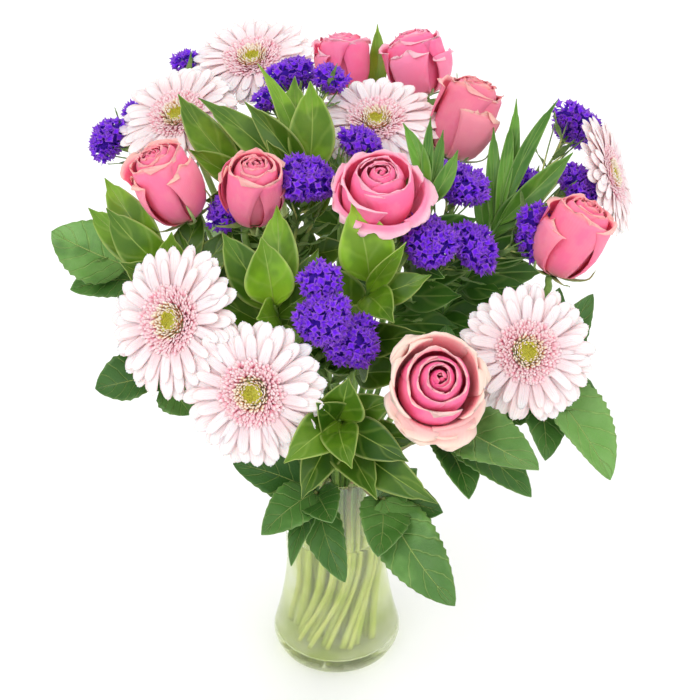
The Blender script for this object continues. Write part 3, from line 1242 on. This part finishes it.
statice = {
    "floretSize": 5.4 * mm,
    "floretDensity": 160000.0,
    "floretSpacing": 2.5 * mm,
    "stemRadius": 2 * mm,
    "branchRadius": 1.1 * mm,
    "stalkLeaves": 13,
    "violets": ("#6A0EE2", "#B068FF", "#8026FA"),
    "greens": ("#4F7A2C", "#94B262"),
    # the crown, then its clusters: azimuth, lean and reach from the tie, and size
    "sprays": [
        ((138, 35, 300), [(149, 37, 359, 44), (125, 34, 396, 32), (137, 38, 374, 28)]),
        ((108, 16, 285), [(108, 19, 360, 46), (93, 15, 356, 34), (122, 17, 345, 30)]),
        ((170, 9, 225), [(-161, 4, 300, 52), (-178, 17, 284, 34), (60, 7, 314, 40)]),
        ((-95, 17, 190), [(-93, 26, 266, 48), (-83, 26, 246, 46), (-96, 20, 278, 34)]),
        ((-10, 17, 215), [(6, 18, 303, 54), (-30, 17, 276, 52), (-16, 23, 276, 46), (-3, 31, 290, 34)]),
        ((22, 33, 270), [(31, 38, 375, 50), (16, 37, 334, 46), (18, 29, 316, 34), (-2, 30, 306, 32)]),
    ],
}


# florets scattered over a lumpy skin, mouths outwards
def makeFloretScatterTree():
    tree, given, out = newNodeTree("floret scatter", [
        ("Shape", "NodeSocketObject"), ("Density", "NodeSocketFloat"), ("Spacing", "NodeSocketFloat"),
        ("Size", "NodeSocketFloat"), ("Seed", "NodeSocketInt"), ("Finish", "NodeSocketMaterial"),
    ])
    seed = given.outputs["Seed"]
    spread = addNode(tree, "GeometryNodeDistributePointsOnFaces", {
        "Mesh": given.outputs["Geometry"], "Distance Min": given.outputs["Spacing"],
        "Density Max": given.outputs["Density"], "Seed": seed,
    }, distribute_method="POISSON")
    lean = addNode(tree, "FunctionNodeRotateRotation", {
        0: spread.outputs["Rotation"],
        1: vectorOf(tree, randomValue(tree, -0.5, 0.5, seed, 1), randomValue(tree, -0.5, 0.5, seed, 2),
                    randomValue(tree, 0.0, 6.28, seed, 3)),
    }, rotation_space="LOCAL")
    size = calc(tree, "MULTIPLY", given.outputs["Size"], randomValue(tree, 0.75, 1.15, seed, 4))
    finishInstances(tree, given, out, spread.outputs["Points"], lean.outputs[0],
                    vectorOf(tree, size, size, size))
    return tree


floretScatter = makeFloretScatterTree()


# a papery funnel, one unit tall along +Z, with a crumpled five-lobed rim and a pale eye
def paperyFloret():
    patches = Patches()
    sides = 8
    levels = [(-0.25, 0.06), (0.35, 0.16), (0.86, 0.60), (0.62, 0.24)]
    chance = random.Random(3)
    grid = np.zeros((len(levels) + 2, sides, 3))
    for i, (z, r) in enumerate(levels):
        for k in range(sides):
            a = k / sides * math.tau
            rim = 1 if i == 2 else 0
            star = 1 + rim * (0.24 * (-1) ** k + chance.uniform(-0.12, 0.12))
            grid[i + 1, k] = (r * star * math.cos(a), r * star * math.sin(a),
                              z + rim * (0.20 * (-1) ** k + chance.uniform(-0.10, 0.10)))
    grid[0] = grid[1].mean(0)
    grid[-1] = grid[-2].mean(0)
    v = np.array([0, 0, 0.35, 1.0, 0.4, 0.25])
    blade = np.stack(np.meshgrid(np.arange(sides) / sides, v), axis=2)
    patches.addLoops(grid, blade, 0.5, np.tile(v[:, None], (1, sides)), 0)
    return pattern(patches, "papery floret")


violetFinish = makeFloretMaterial("statice violet", *statice["violets"], rough=0.7, reach=(0.25, 1.0))
staticeGreen = makeStemMaterial("statice stem", *statice["greens"], ribs=4, hair=0.4, pale=0.8)


# one cluster's lumpy skin, that the florets stand on
def clusterSkin(centre, facing, size, seed):
    work = bmesh.new()
    bmesh.ops.create_icosphere(work, subdivisions=3, radius=1)
    chance = random.Random(seed)
    lumps = [Vector((chance.gauss(0, 1), chance.gauss(0, 1), chance.uniform(-0.3, 1.2))).normalized()
             for _ in range(9)]
    turn = up.rotation_difference(facing).to_matrix()
    inset = 0.62 * statice["floretSize"]
    for v in work.verts:
        near = max(v.co.dot(lump) for lump in lumps)
        bulge = 0.60 + 0.40 * max(0.0, near) ** 7
        if v.co.z < 0:
            bulge *= 1 + 0.25 * v.co.z
        flat = Vector((v.co.x * (size / 2 * mm - inset), v.co.y * (size / 2 * mm - inset),
                       v.co.z * (size * 0.36 * mm - inset * 0.8)))
        v.co = centre + turn @ (flat * bulge)
    mesh = bpy.data.meshes.new("cluster")
    work.to_mesh(mesh)
    work.free()
    obj = bpy.data.objects.new("cluster", mesh)
    scene.collection.objects.link(obj)
    return obj


# a narrow, wavy leaf that grows from a point of a stem
def addBract(patches, start, out, facing, length, halfWidth, chance):
    wide = facing.cross(out).normalized()
    phase = chance.uniform(0, 6)
    sheet = np.zeros((10, 5, 3))
    for i in range(10):
        t = i / 9
        half = halfWidth * math.sin(math.pi * (0.12 + 0.88 * t) ** 0.8) + 0.2 * mm
        for j in range(5):
            w = j / 2 - 1
            ripple = 0.35 * halfWidth * math.sin(t * 13 + phase) * w
            sheet[i, j] = (start + out * length * t + wide * half * w
                           + facing * (ripple + abs(w) * 0.2 * halfWidth + 0.25 * length * t * t))
    patches.addSheet(sheet, 0.5 * mm, tone=chance.random(), shadeGrid=np.full((10, 5), 0.9))


def makeStatice(number, floret):
    crownPlan, clusters = statice["sprays"][number - 1]
    crown = fromTie(*crownPlan)
    axis = (crown - tie).normalized()
    node = f"statice_{number}_stem"
    chance = random.Random(number)
    stalk = Patches()
    line = stemLine(node, crown - axis * 0.3 * mm, axis, bunch["sprigNeck"])
    radius = statice["stemRadius"]
    stalk.addTube(line, lambda s, a: radius * (1.04 - 0.04 * s + 0.12 * math.sin(s * 37 + a * 2)), 8)
    # leaves up the stalk above the rim
    heights = [k for k in range(len(line) - 1) if line[k].z > vaseHigh.z + 25 * mm]
    for m in range(statice["stalkLeaves"]):
        k = heights[int(m / statice["stalkLeaves"] * len(heights))]
        ahead = (line[k + 1] - line[k]).normalized()
        out = Matrix.Rotation(m * 2.4, 3, ahead) @ ahead.orthogonal().normalized()
        out = (out + ahead * chance.uniform(0.3, 0.9)).normalized()
        addBract(stalk, line[k], out, ahead, chance.uniform(26, 44) * mm, 4.4 * mm, chance)
    settle(stalk.toObject(f"statice_stalk_{number}", [staticeGreen]), "statice_stem", node)
    green = Patches()
    parts = []
    for k, (azimuth, lean, reach, size) in enumerate(clusters):
        centre = fromTie(azimuth, lean, reach)
        facing = (centre - crown).normalized()
        side = facing.orthogonal().normalized()
        middle = crown.lerp(centre, 0.5) + axis * 4 * mm
        trunk = smoothLine([crown, middle, centre], 12)
        green.addTube(trunk,
                      lambda s, a: statice["branchRadius"] * (1.15 - 0.3 * s + 0.25 * math.cos(2 * a)),
                      8, tone=chance.random())
        for m in range(14):
            turn = Matrix.Rotation(m * 2.4 + k * 1.3, 3, facing)
            out = (turn @ side + facing * chance.uniform(0.2, 1.0)).normalized()
            addBract(green, trunk[1 + m % 10], out, facing, chance.uniform(14, 28) * mm, 2.6 * mm, chance)
        # side twigs that fan into the cluster
        for m in range(6):
            start = trunk[5 + m]
            turn = Matrix.Rotation(m * 2.4 + k, 3, facing)
            tip = centre + turn @ side * (size * 0.33 * mm) + facing * chance.uniform(-0.12, 0.12) * size * mm
            bow = start.lerp(tip, 0.5) - facing * 1.5 * mm
            green.addTube(smoothLine([start, bow, tip], 6), lambda s, a: 0.75 * mm * (1.1 - 0.4 * s), 5,
                          tone=chance.random())
        skin = clusterSkin(centre, facing, size, number * 10 + k)
        parts.append(grow("florets", floretScatter, host=skin, Shape=floret,
                          Density=statice["floretDensity"], Spacing=statice["floretSpacing"],
                          Size=statice["floretSize"], Seed=number * 10 + k, Finish=violetFinish))
        core = clusterSkin(centre, facing, size * 0.93, number * 10 + k)
        core.data.materials.append(calyxFinish)
        for name in ("tone", "shade"):
            core.data.attributes.new(name, "FLOAT", "POINT")
        parts.append(core)
    parts.append(green.toObject("branches", [staticeGreen]))
    whole = joined(f"statice_spray_{number}", parts)
    settle(whole, "statice_floret", f"statice_{number}_flowers")


calyxFinish = makeFloretMaterial("statice calyx", "#4616A4", "#6A3CD0", "#74846A", rough=0.85)
floret = paperyFloret()
for number in range(1, 7):
    makeStatice(number, floret)
bpy.data.objects.remove(floret)
print("statice")


# greenery

# leaves of a sprig: azimuth and lift of the tip as seen from the crown, its distance, width, roll,
# and how far down the stem from the crown the leaf grows
greenery = {
    "ruscus": {
        "node": "ruscus", "slot": "ruscus_leaf", "stem": 1.8 * mm, "belly": 0.82, "fullness": 0.95,
        "thickness": 0.7 * mm, "wave": 0.5, "spine": True, "relief": 0.35 * mm,
        "dark": "#1F4A08", "bright": "#86B824", "fresh": "#A8CC3A", "under": "#7F9448", "vein": "#A9C25C",
        "margin": "#C6D27A", "pairs": 3.0, "slant": 1.0, "veinWidth": 0.16, "midrib": 0.05,
        "veinShow": 0.16, "marginShow": 0.4, "coat": 0.14, "gloss": 0.32,
        "stemColours": ("#55802A", "#8AAA4C"),
        "lightness": (0.6, 0.85, 0.75, 0.9, 1.25, 0.35, 0.7),
        "sprigs": [
            ((147, 17, 298), (-90, 30),
             [(156, 46, 78, 28, 0, 2), (-160, 30, 48, 22, 10, 8), (110, 46, 52, 25, 0, 12),
              (-138, -20, 40, 26, 0, 26), (-32, 48, 30, 26, 0, 34),
              (-120, -40, 40, 23, 0, 64), (-28, -46, 60, 24, 0, 60), (-124, -56, 76, 25, 0, 96),
              (-18, -28, 56, 21, 0, 72), (154, -76, 96, 28, 0, 120), (-128, -76, 132, 28, 0, 150)]),
            ((127, 7, 290), (-90, 30),
             [(80, 76, 74, 36, 0, 0), (174, 52, 76, 24, 0, 6), (162, 32, 104, 28, 10, 14),
              (128, 50, 98, 19, 20, 10), (100, 46, 86, 28, -15, 4), (-158, 48, 48, 26, 0, 24),
              (4, 52, 28, 26, 0, 34),
              (-138, -64, 48, 22, 0, 60), (-28, -54, 62, 23, 0, 62), (-122, -66, 88, 24, 0, 94),
              (-46, -62, 104, 24, 0, 96), (78, -64, 104, 28, 0, 120), (162, -68, 100, 28, 0, 124),
              (42, -68, 138, 28, 0, 150), (132, -74, 142, 28, 0, 154)]),
            ((-171, 29, 272), (-100, 30),
             [(138, 40, 82, 30, 0, 0), (150, 24, 76, 28, 0, 6), (170, 46, 60, 34, 0, 12),
              (-56, 62, 38, 28, 20, 16), (-144, 18, 38, 30, 0, 22), (-32, 18, 34, 28, 0, 34),
              (30, 14, 34, 28, 0, 54), (-14, -22, 66, 26, 0, 84), (68, 36, 32, 26, 0, 40),
              (54, 32, 54, 26, 0, 14), (26, 18, 62, 26, 0, 24), (56, 8, 52, 26, 0, 46),
              (30, -8, 76, 26, 0, 48)]),
            ((-119, 21, 250), (-92, 32),
             [(168, 82, 54, 36, 0, 0), (150, 48, 64, 32, 0, 6), (88, 52, 74, 31, 0, 4),
              (-106, 12, 38, 28, 0, 12), (-2, 24, 44, 24, 0, 12), (-56, -16, 40, 28, 0, 44),
              (44, 34, 54, 30, 0, 30), (-174, 16, 46, 26, 0, 26),
              (22, -4, 34, 25, 0, 56), (176, -54, 46, 25, 0, 64), (-108, -64, 64, 26, 0, 96)]),
            ((-66, 15, 252), (-88, 32),
             [(168, 78, 64, 42, 0, 0), (38, 40, 64, 24, 0, 6), (-34, 52, 50, 17, 25, 10),
              (-8, 10, 46, 24, 0, 14), (-70, -12, 50, 28, 0, 14), (-144, -26, 40, 30, 0, 46),
              (158, 10, 42, 30, 0, 32), (-40, -26, 58, 26, 0, 60), (-88, -40, 56, 30, 0, 84),
              (-30, -58, 80, 27, 0, 98), (-8, -42, 82, 23, 0, 92), (-166, -38, 68, 27, 0, 90)]),
            ((-88, 38, 214), (-90, 34),
             [(-128, -4, 62, 32, 0, 2), (-82, 0, 62, 28, 0, 8), (-48, 76, 40, 34, 0, 0),
              (-38, -10, 62, 29, 0, 6), (-122, -38, 64, 28, 0, 20), (-38, -22, 94, 32, 0, 26),
              (-130, 46, 36, 30, 0, 10), (-2, 24, 44, 28, 0, 14), (-62, -32, 66, 32, 0, 34),
              (2, -18, 62, 28, 0, 40), (-10, -40, 64, 23, 0, 48)]),
            ((79, 31, 344), (-90, 20),
             [(86, 68, 68, 16, 0, 0), (100, 14, 56, 28, 0, 10), (40, -20, 60, 28, 0, 18),
              (150, -24, 60, 28, 0, 30), (92, -30, 62, 30, 0, 44), (10, -44, 64, 30, 0, 60),
              (-20, -38, 62, 26, 0, 70), (-178, -40, 66, 26, 0, 74), (86, -86, 96, 28, 0, 105),
              (-146, -46, 118, 28, 0, 110), (-50, -50, 116, 28, 0, 114), (-154, -72, 126, 28, 0, 140),
              (-50, -74, 128, 28, 0, 144), (-102, -78, 154, 30, 0, 176), (-136, -58, 170, 28, 0, 180)]),
        ],
    },
    "thin": {
        "node": "thin_ruscus", "slot": "thin_leaf", "stem": 1.4 * mm, "belly": 0.9, "fullness": 0.9,
        "thickness": 0.6 * mm, "wave": 0.3, "spine": True, "relief": 0.35 * mm,
        "dark": "#22550E", "bright": "#629A2C", "fresh": "#80B040", "under": "#74954A", "vein": "#93B35C",
        "margin": "#A5BE70", "pairs": 2.0, "slant": 0.8, "veinWidth": 0.2, "midrib": 0.09,
        "veinShow": 0.2, "marginShow": 0.3, "coat": 0.10, "gloss": 0.38,
        "stemColours": ("#5C8F38", "#86AE58"),
        "lightness": (1.0, 0.9),
        "sprigs": [
            ((8, 27, 292), (-90, 30),
             [(78, 54, 94, 11, 0, 0), (46, 52, 100, 12, 0, 4), (80, 56, 76, 11, 0, 10),
              (12, 42, 72, 18, 0, 8), (100, 56, 70, 12, 0, 14), (16, 38, 42, 19, 0, 20),
              (136, 50, 42, 12, 0, 26),
              (-92, -60, 60, 20, 0, 66), (-162, -34, 72, 19, 0, 64), (-114, -62, 92, 20, 0, 96),
              (-158, -38, 98, 20, 0, 94), (-56, -46, 40, 17, 0, 38), (-126, -58, 116, 20, 0, 124),
              (40, -62, 44, 18, 0, 80), (104, -44, 62, 18, 0, 84), (-48, -84, 90, 18, 0, 118),
              (132, -72, 118, 20, 0, 150),
              (-34, -8, 38, 24, 0, 40), (44, -30, 40, 24, 0, 52), (12, -56, 64, 26, 0, 60),
              (-62, -48, 58, 26, 0, 72), (26, -70, 72, 26, 0, 88), (-62, -70, 72, 26, 0, 100),
              (82, -76, 98, 26, 0, 112), (-94, -74, 108, 26, 0, 128)]),
            ((-15, 14, 300), (-90, 30),
             [(120, 52, 60, 13, 0, 0), (86, 56, 62, 9, 0, 4), (32, 52, 42, 13, 0, 8),
              (70, 50, 54, 11, 0, 12), (150, 42, 38, 12, 0, 18),
              (16, -28, 46, 22, 0, 40), (-158, -28, 64, 22, 0, 48), (-74, -48, 62, 22, 0, 56),
              (78, -42, 62, 24, 0, 66), (20, -58, 74, 26, 0, 74), (-40, -64, 78, 26, 0, 86),
              (154, -44, 106, 26, 0, 96), (56, -64, 96, 26, 0, 104), (-4, -76, 112, 26, 0, 116),
              (-96, -72, 120, 26, 0, 128), (168, -54, 146, 26, 0, 136)]),
        ],
    },
    "salal": {
        "node": "salal", "slot": "salal_leaf", "stem": 1.9 * mm, "belly": 0.76, "fullness": 0.7,
        "thickness": 0.7 * mm, "wave": 1.0, "spine": False, "relief": 0.9 * mm,
        "dark": "#235410", "bright": "#6C9E4A", "fresh": "#86B066", "under": "#86A070", "vein": "#B2CC74",
        "margin": "#7E9A4C", "pairs": 6.0, "slant": 1.5, "veinWidth": 0.09, "midrib": 0.04,
        "veinShow": 0.28, "marginShow": 0.25, "coat": 0.12, "gloss": 0.38,
        "stemColours": ("#5F7C34", "#86683F"),
        "lightness": (1.5, 0.7, 1.1, 0.6, 0.75, 0.6, 0.7),
        "sprigs": [
            ((178, 36, 278), (-100, 45),
             [(168, 20, 64, 52, 0, 2), (120, 26, 54, 36, 0, 8), (-156, -16, 48, 32, 0, 16),
              (122, -36, 36, 38, 0, 50), (106, -84, 74, 38, 0, 90), (52, -48, 90, 36, 0, 94),
              (-42, -74, 106, 36, 0, 120)]),
            ((-154, 42, 228), (-110, 50),
             [(-172, -14, 46, 38, 0, 4), (-16, -50, 44, 32, 0, 14), (138, 6, 40, 34, 0, 22)]),
            ((-22, 47, 238), (-60, 45),
             [(-48, -40, 90, 47, 0, 2), (-94, -42, 64, 39, 0, 12), (-2, -28, 48, 34, 0, 8),
              (48, 42, 76, 34, 0, 10), (76, 40, 76, 34, 0, 24), (126, 40, 70, 34, 0, 40),
              (166, 14, 64, 31, 0, 64), (60, -46, 44, 38, 0, 60), (110, -40, 86, 38, 0, 95),
              (90, 48, 36, 34, 0, 46), (112, 32, 54, 34, 0, 50)]),
            ((-55, 43, 222), (-70, 45),
             [(-44, -4, 78, 47, 0, 2), (-36, -30, 78, 37, 0, 16), (-76, -44, 58, 34, 0, 24),
              (130, 24, 62, 33, 0, 26), (92, 34, 78, 35, 0, 20)]),
            ((-76, 54, 188), (-80, 40),
             [(-54, -28, 94, 45, 0, 2), (-96, -16, 52, 37, 0, 10), (-12, -8, 44, 33, 0, 16),
              (6, 46, 34, 33, 0, 22)]),
            ((-95, 52, 188), (-95, 40),
             [(-110, -32, 58, 18, 10, 10), (-62, -48, 68, 29, 0, 16), (-128, -2, 60, 32, 0, 2),
              (168, 6, 42, 32, 0, 22), (-72, 2, 40, 32, 0, 6), (178, 22, 64, 34, 0, 8)]),
            ((112, 46, 245), (100, 45),
             [(108, -6, 66, 46, 0, 2), (60, 2, 60, 40, 0, 10), (168, 4, 60, 40, 0, 18),
              (112, 52, 54, 42, 0, 6), (40, -20, 60, 36, 0, 28), (178, -22, 60, 36, 0, 28),
              (60, -28, 30, 38, 0, 50), (-138, -16, 52, 38, 0, 56), (-144, -72, 62, 38, 0, 86),
              (-12, -44, 76, 36, 0, 92), (-38, -66, 102, 36, 0, 120)]),
        ],
    },
}


# one leaf blade: folded along its midrib, drooping, waved at its margin
def addLeaf(patches, base, tip, width, face, roll, look, tone, chance):
    along = tip - base
    length = along.length
    along.normalize()
    broad = (face - along * face.dot(along)).normalized()
    broad = Matrix.Rotation(math.radians(roll), 3, along) @ broad
    side = along.cross(broad)
    rows = max(14, min(40, int(length / (3 * mm))))
    columns = 11
    fold = bunch["leafFold"] * chance.uniform(0.7, 2.2)
    droop = bunch["leafDroop"] * chance.uniform(0.4, 1.7)
    twist = chance.uniform(-0.6, 0.6)
    bow = chance.uniform(-0.05, 0.05) * length
    phase, beat = chance.uniform(0, 6), chance.uniform(9, 14)
    wave = look["wave"] * chance.uniform(0.5, 1.2) * mm
    grid = np.zeros((rows, columns, 3))
    for i in range(rows):
        t = i / (rows - 1)
        blade = math.sin(math.pi * t ** look["belly"]) ** look["fullness"] if 0 < t < 1 else 0
        point = 1.0
        if look["spine"] and t > 0.86:
            point = 0.75
        half = max(blade * width / 2 * mm * point, 0.7 * mm if t < 0.5 else 0.25 * mm)
        if not look["spine"]:
            half *= 1 + 0.035 * ((i % 2) * 2 - 1) * blade
        swing = twist * (t - 0.3)
        level = droop * length * (0.25 - (t - 0.5) ** 2)
        for j in range(columns):
            w = j / (columns - 1) * 2 - 1
            marginLift = wave * abs(w) ** 2 * blade * math.sin(t * beat + phase + (w > 0) * 2)
            rise = abs(w) ** 1.3 * half * fold + marginLift
            pucker = (0.35 * mm * look["wave"] * blade * math.sin(t * 26 - abs(w) * 6)
                      * (1 - abs(w)) * abs(w) * 4)
            place = base + along * (t * length) + broad * (level + rise + pucker)
            place += side * (w * half * math.cos(swing) + bow * 4 * t * (1 - t))
            place += broad * (w * half * math.sin(swing))
            grid[i, j] = place
    patches.addSheet(grid, look["thickness"], tone=tone)


def makeSprig(kind, number, leafFinish, stemFinish):
    look = greenery[kind]
    crownPlan, facing, leaves = look["sprigs"][number - 1]
    node = f"{look['node']}_{number}"
    crown = fromTie(*crownPlan)
    axis = (crown - tie).normalized()
    line = stemLine(node, crown, axis, bunch["sprigNeck"], 60)
    chance = random.Random(kind + str(number))
    stalk = Patches()
    radius = look["stem"]
    stalk.addTube(line, lambda s, a: radius * (1.1 - 0.35 * s) * (1 + 0.06 * math.sin(s * 60 + 2 * a)), 8)
    blades = Patches()
    for azimuth, lift, distance, width, roll, back in leaves:
        tip = crown + heading(azimuth, lift) * distance * mm
        left = (back + 1) * mm
        k = len(line) - 1
        while k > 0 and left > (line[k] - line[k - 1]).length:
            left -= (line[k] - line[k - 1]).length
            k -= 1
        base = line[k].lerp(line[k - 1], left / (line[k] - line[k - 1]).length)
        # young leaves near the crown are bright, those deep in the bunch dark
        tone = chance.uniform(0.05, 0.3) if back > 45 else chance.uniform(0.15, 0.75)
        if back < 3:
            tone = chance.uniform(0.7, 1.0)
        tone = min(tone * look["lightness"][number - 1], 1)
        addLeaf(blades, base, tip, width, heading(*facing), roll, look, tone, chance)
    parts = [blades.toObject("blades", [leafFinish]), stalk.toObject("stalk", [stemFinish])]
    whole = joined(f"{kind}_sprig_{number}", parts)
    settle(whole, look["slot"], node)


for kind, look in greenery.items():
    leafFinish = makeLeafMaterial(kind + " leaf", look)
    stemFinish = makeStemMaterial(kind + " twig", *look["stemColours"], ribs=3, pale=0.8)
    for number in range(1, len(look["sprigs"]) + 1):
        makeSprig(kind, number, leafFinish, stemFinish)
print("greenery")


# stage

def makeStage():
    mesh = bpy.data.meshes.new("floor")
    mesh.from_pydata([(-4, -4, 0), (4, -4, 0), (4, 4, 0), (-4, 4, 0)], [], [(0, 1, 2, 3)])
    floor = bpy.data.objects.new("floor", mesh)
    scene.collection.objects.link(floor)
    material, tree, shader = newMaterial("white paper", Roughness=0.9)
    place = addNode(tree, "ShaderNodeTexCoord").outputs["Object"]
    grain = addNode(tree, "ShaderNodeTexNoise", {"Vector": place, "Scale": 400.0, "Detail": 2.0})
    body = mixColours(tree, grain.outputs["Fac"], colour("#FDFDFD"), colour("#FFFFFF"))
    tree.links.new(body, shader.inputs["Base Color"])
    mesh.materials.append(material)


light = {
    "world": 1.0,
    "key": (-1.1, -1.5, 2.0, 1.6, 16),     # x, y, z, size, watts
    "fill": (1.5, -1.2, 1.2, 1.6, 7),
    "back": (0.3, 1.8, 1.9, 1.4, 9),
}


def makeLights():
    world = bpy.data.worlds.new("white room")
    scene.world = world
    world.use_nodes = True
    background = world.node_tree.nodes["Background"]
    background.inputs["Color"].default_value = (1, 1, 1, 1)
    background.inputs["Strength"].default_value = light["world"]
    for name in ("key", "fill", "back"):
        x, y, z, size, watts = light[name]
        lamp = bpy.data.lights.new(name, "AREA")
        lamp.shape = "DISK"
        lamp.size = size
        lamp.energy = watts
        holder = bpy.data.objects.new(name, lamp)
        scene.collection.objects.link(holder)
        holder.location = (x, y, z)
        aim = Vector((0, 0, 0.32)) - holder.location
        holder.rotation_euler = aim.to_track_quat("-Z", "Y").to_euler()


view = {
    "target": Vector((0.012, 0, 0.300)),
    "distance": 1.10,
    "elevation": 30,
    "lens": 70,
}


def makeCamera():
    data = bpy.data.cameras.new("camera")
    data.lens = view["lens"]
    data.sensor_width = 36
    camera = bpy.data.objects.new("camera", data)
    scene.collection.objects.link(camera)
    camera.location = view["target"] + heading(-90, view["elevation"]) * view["distance"]
    aim = view["target"] - camera.location
    camera.rotation_euler = aim.to_track_quat("-Z", "Y").to_euler()
    scene.camera = camera


makeStage()
makeLights()
makeCamera()
scene.view_settings.view_transform = "Standard"
print("stage, light and camera")
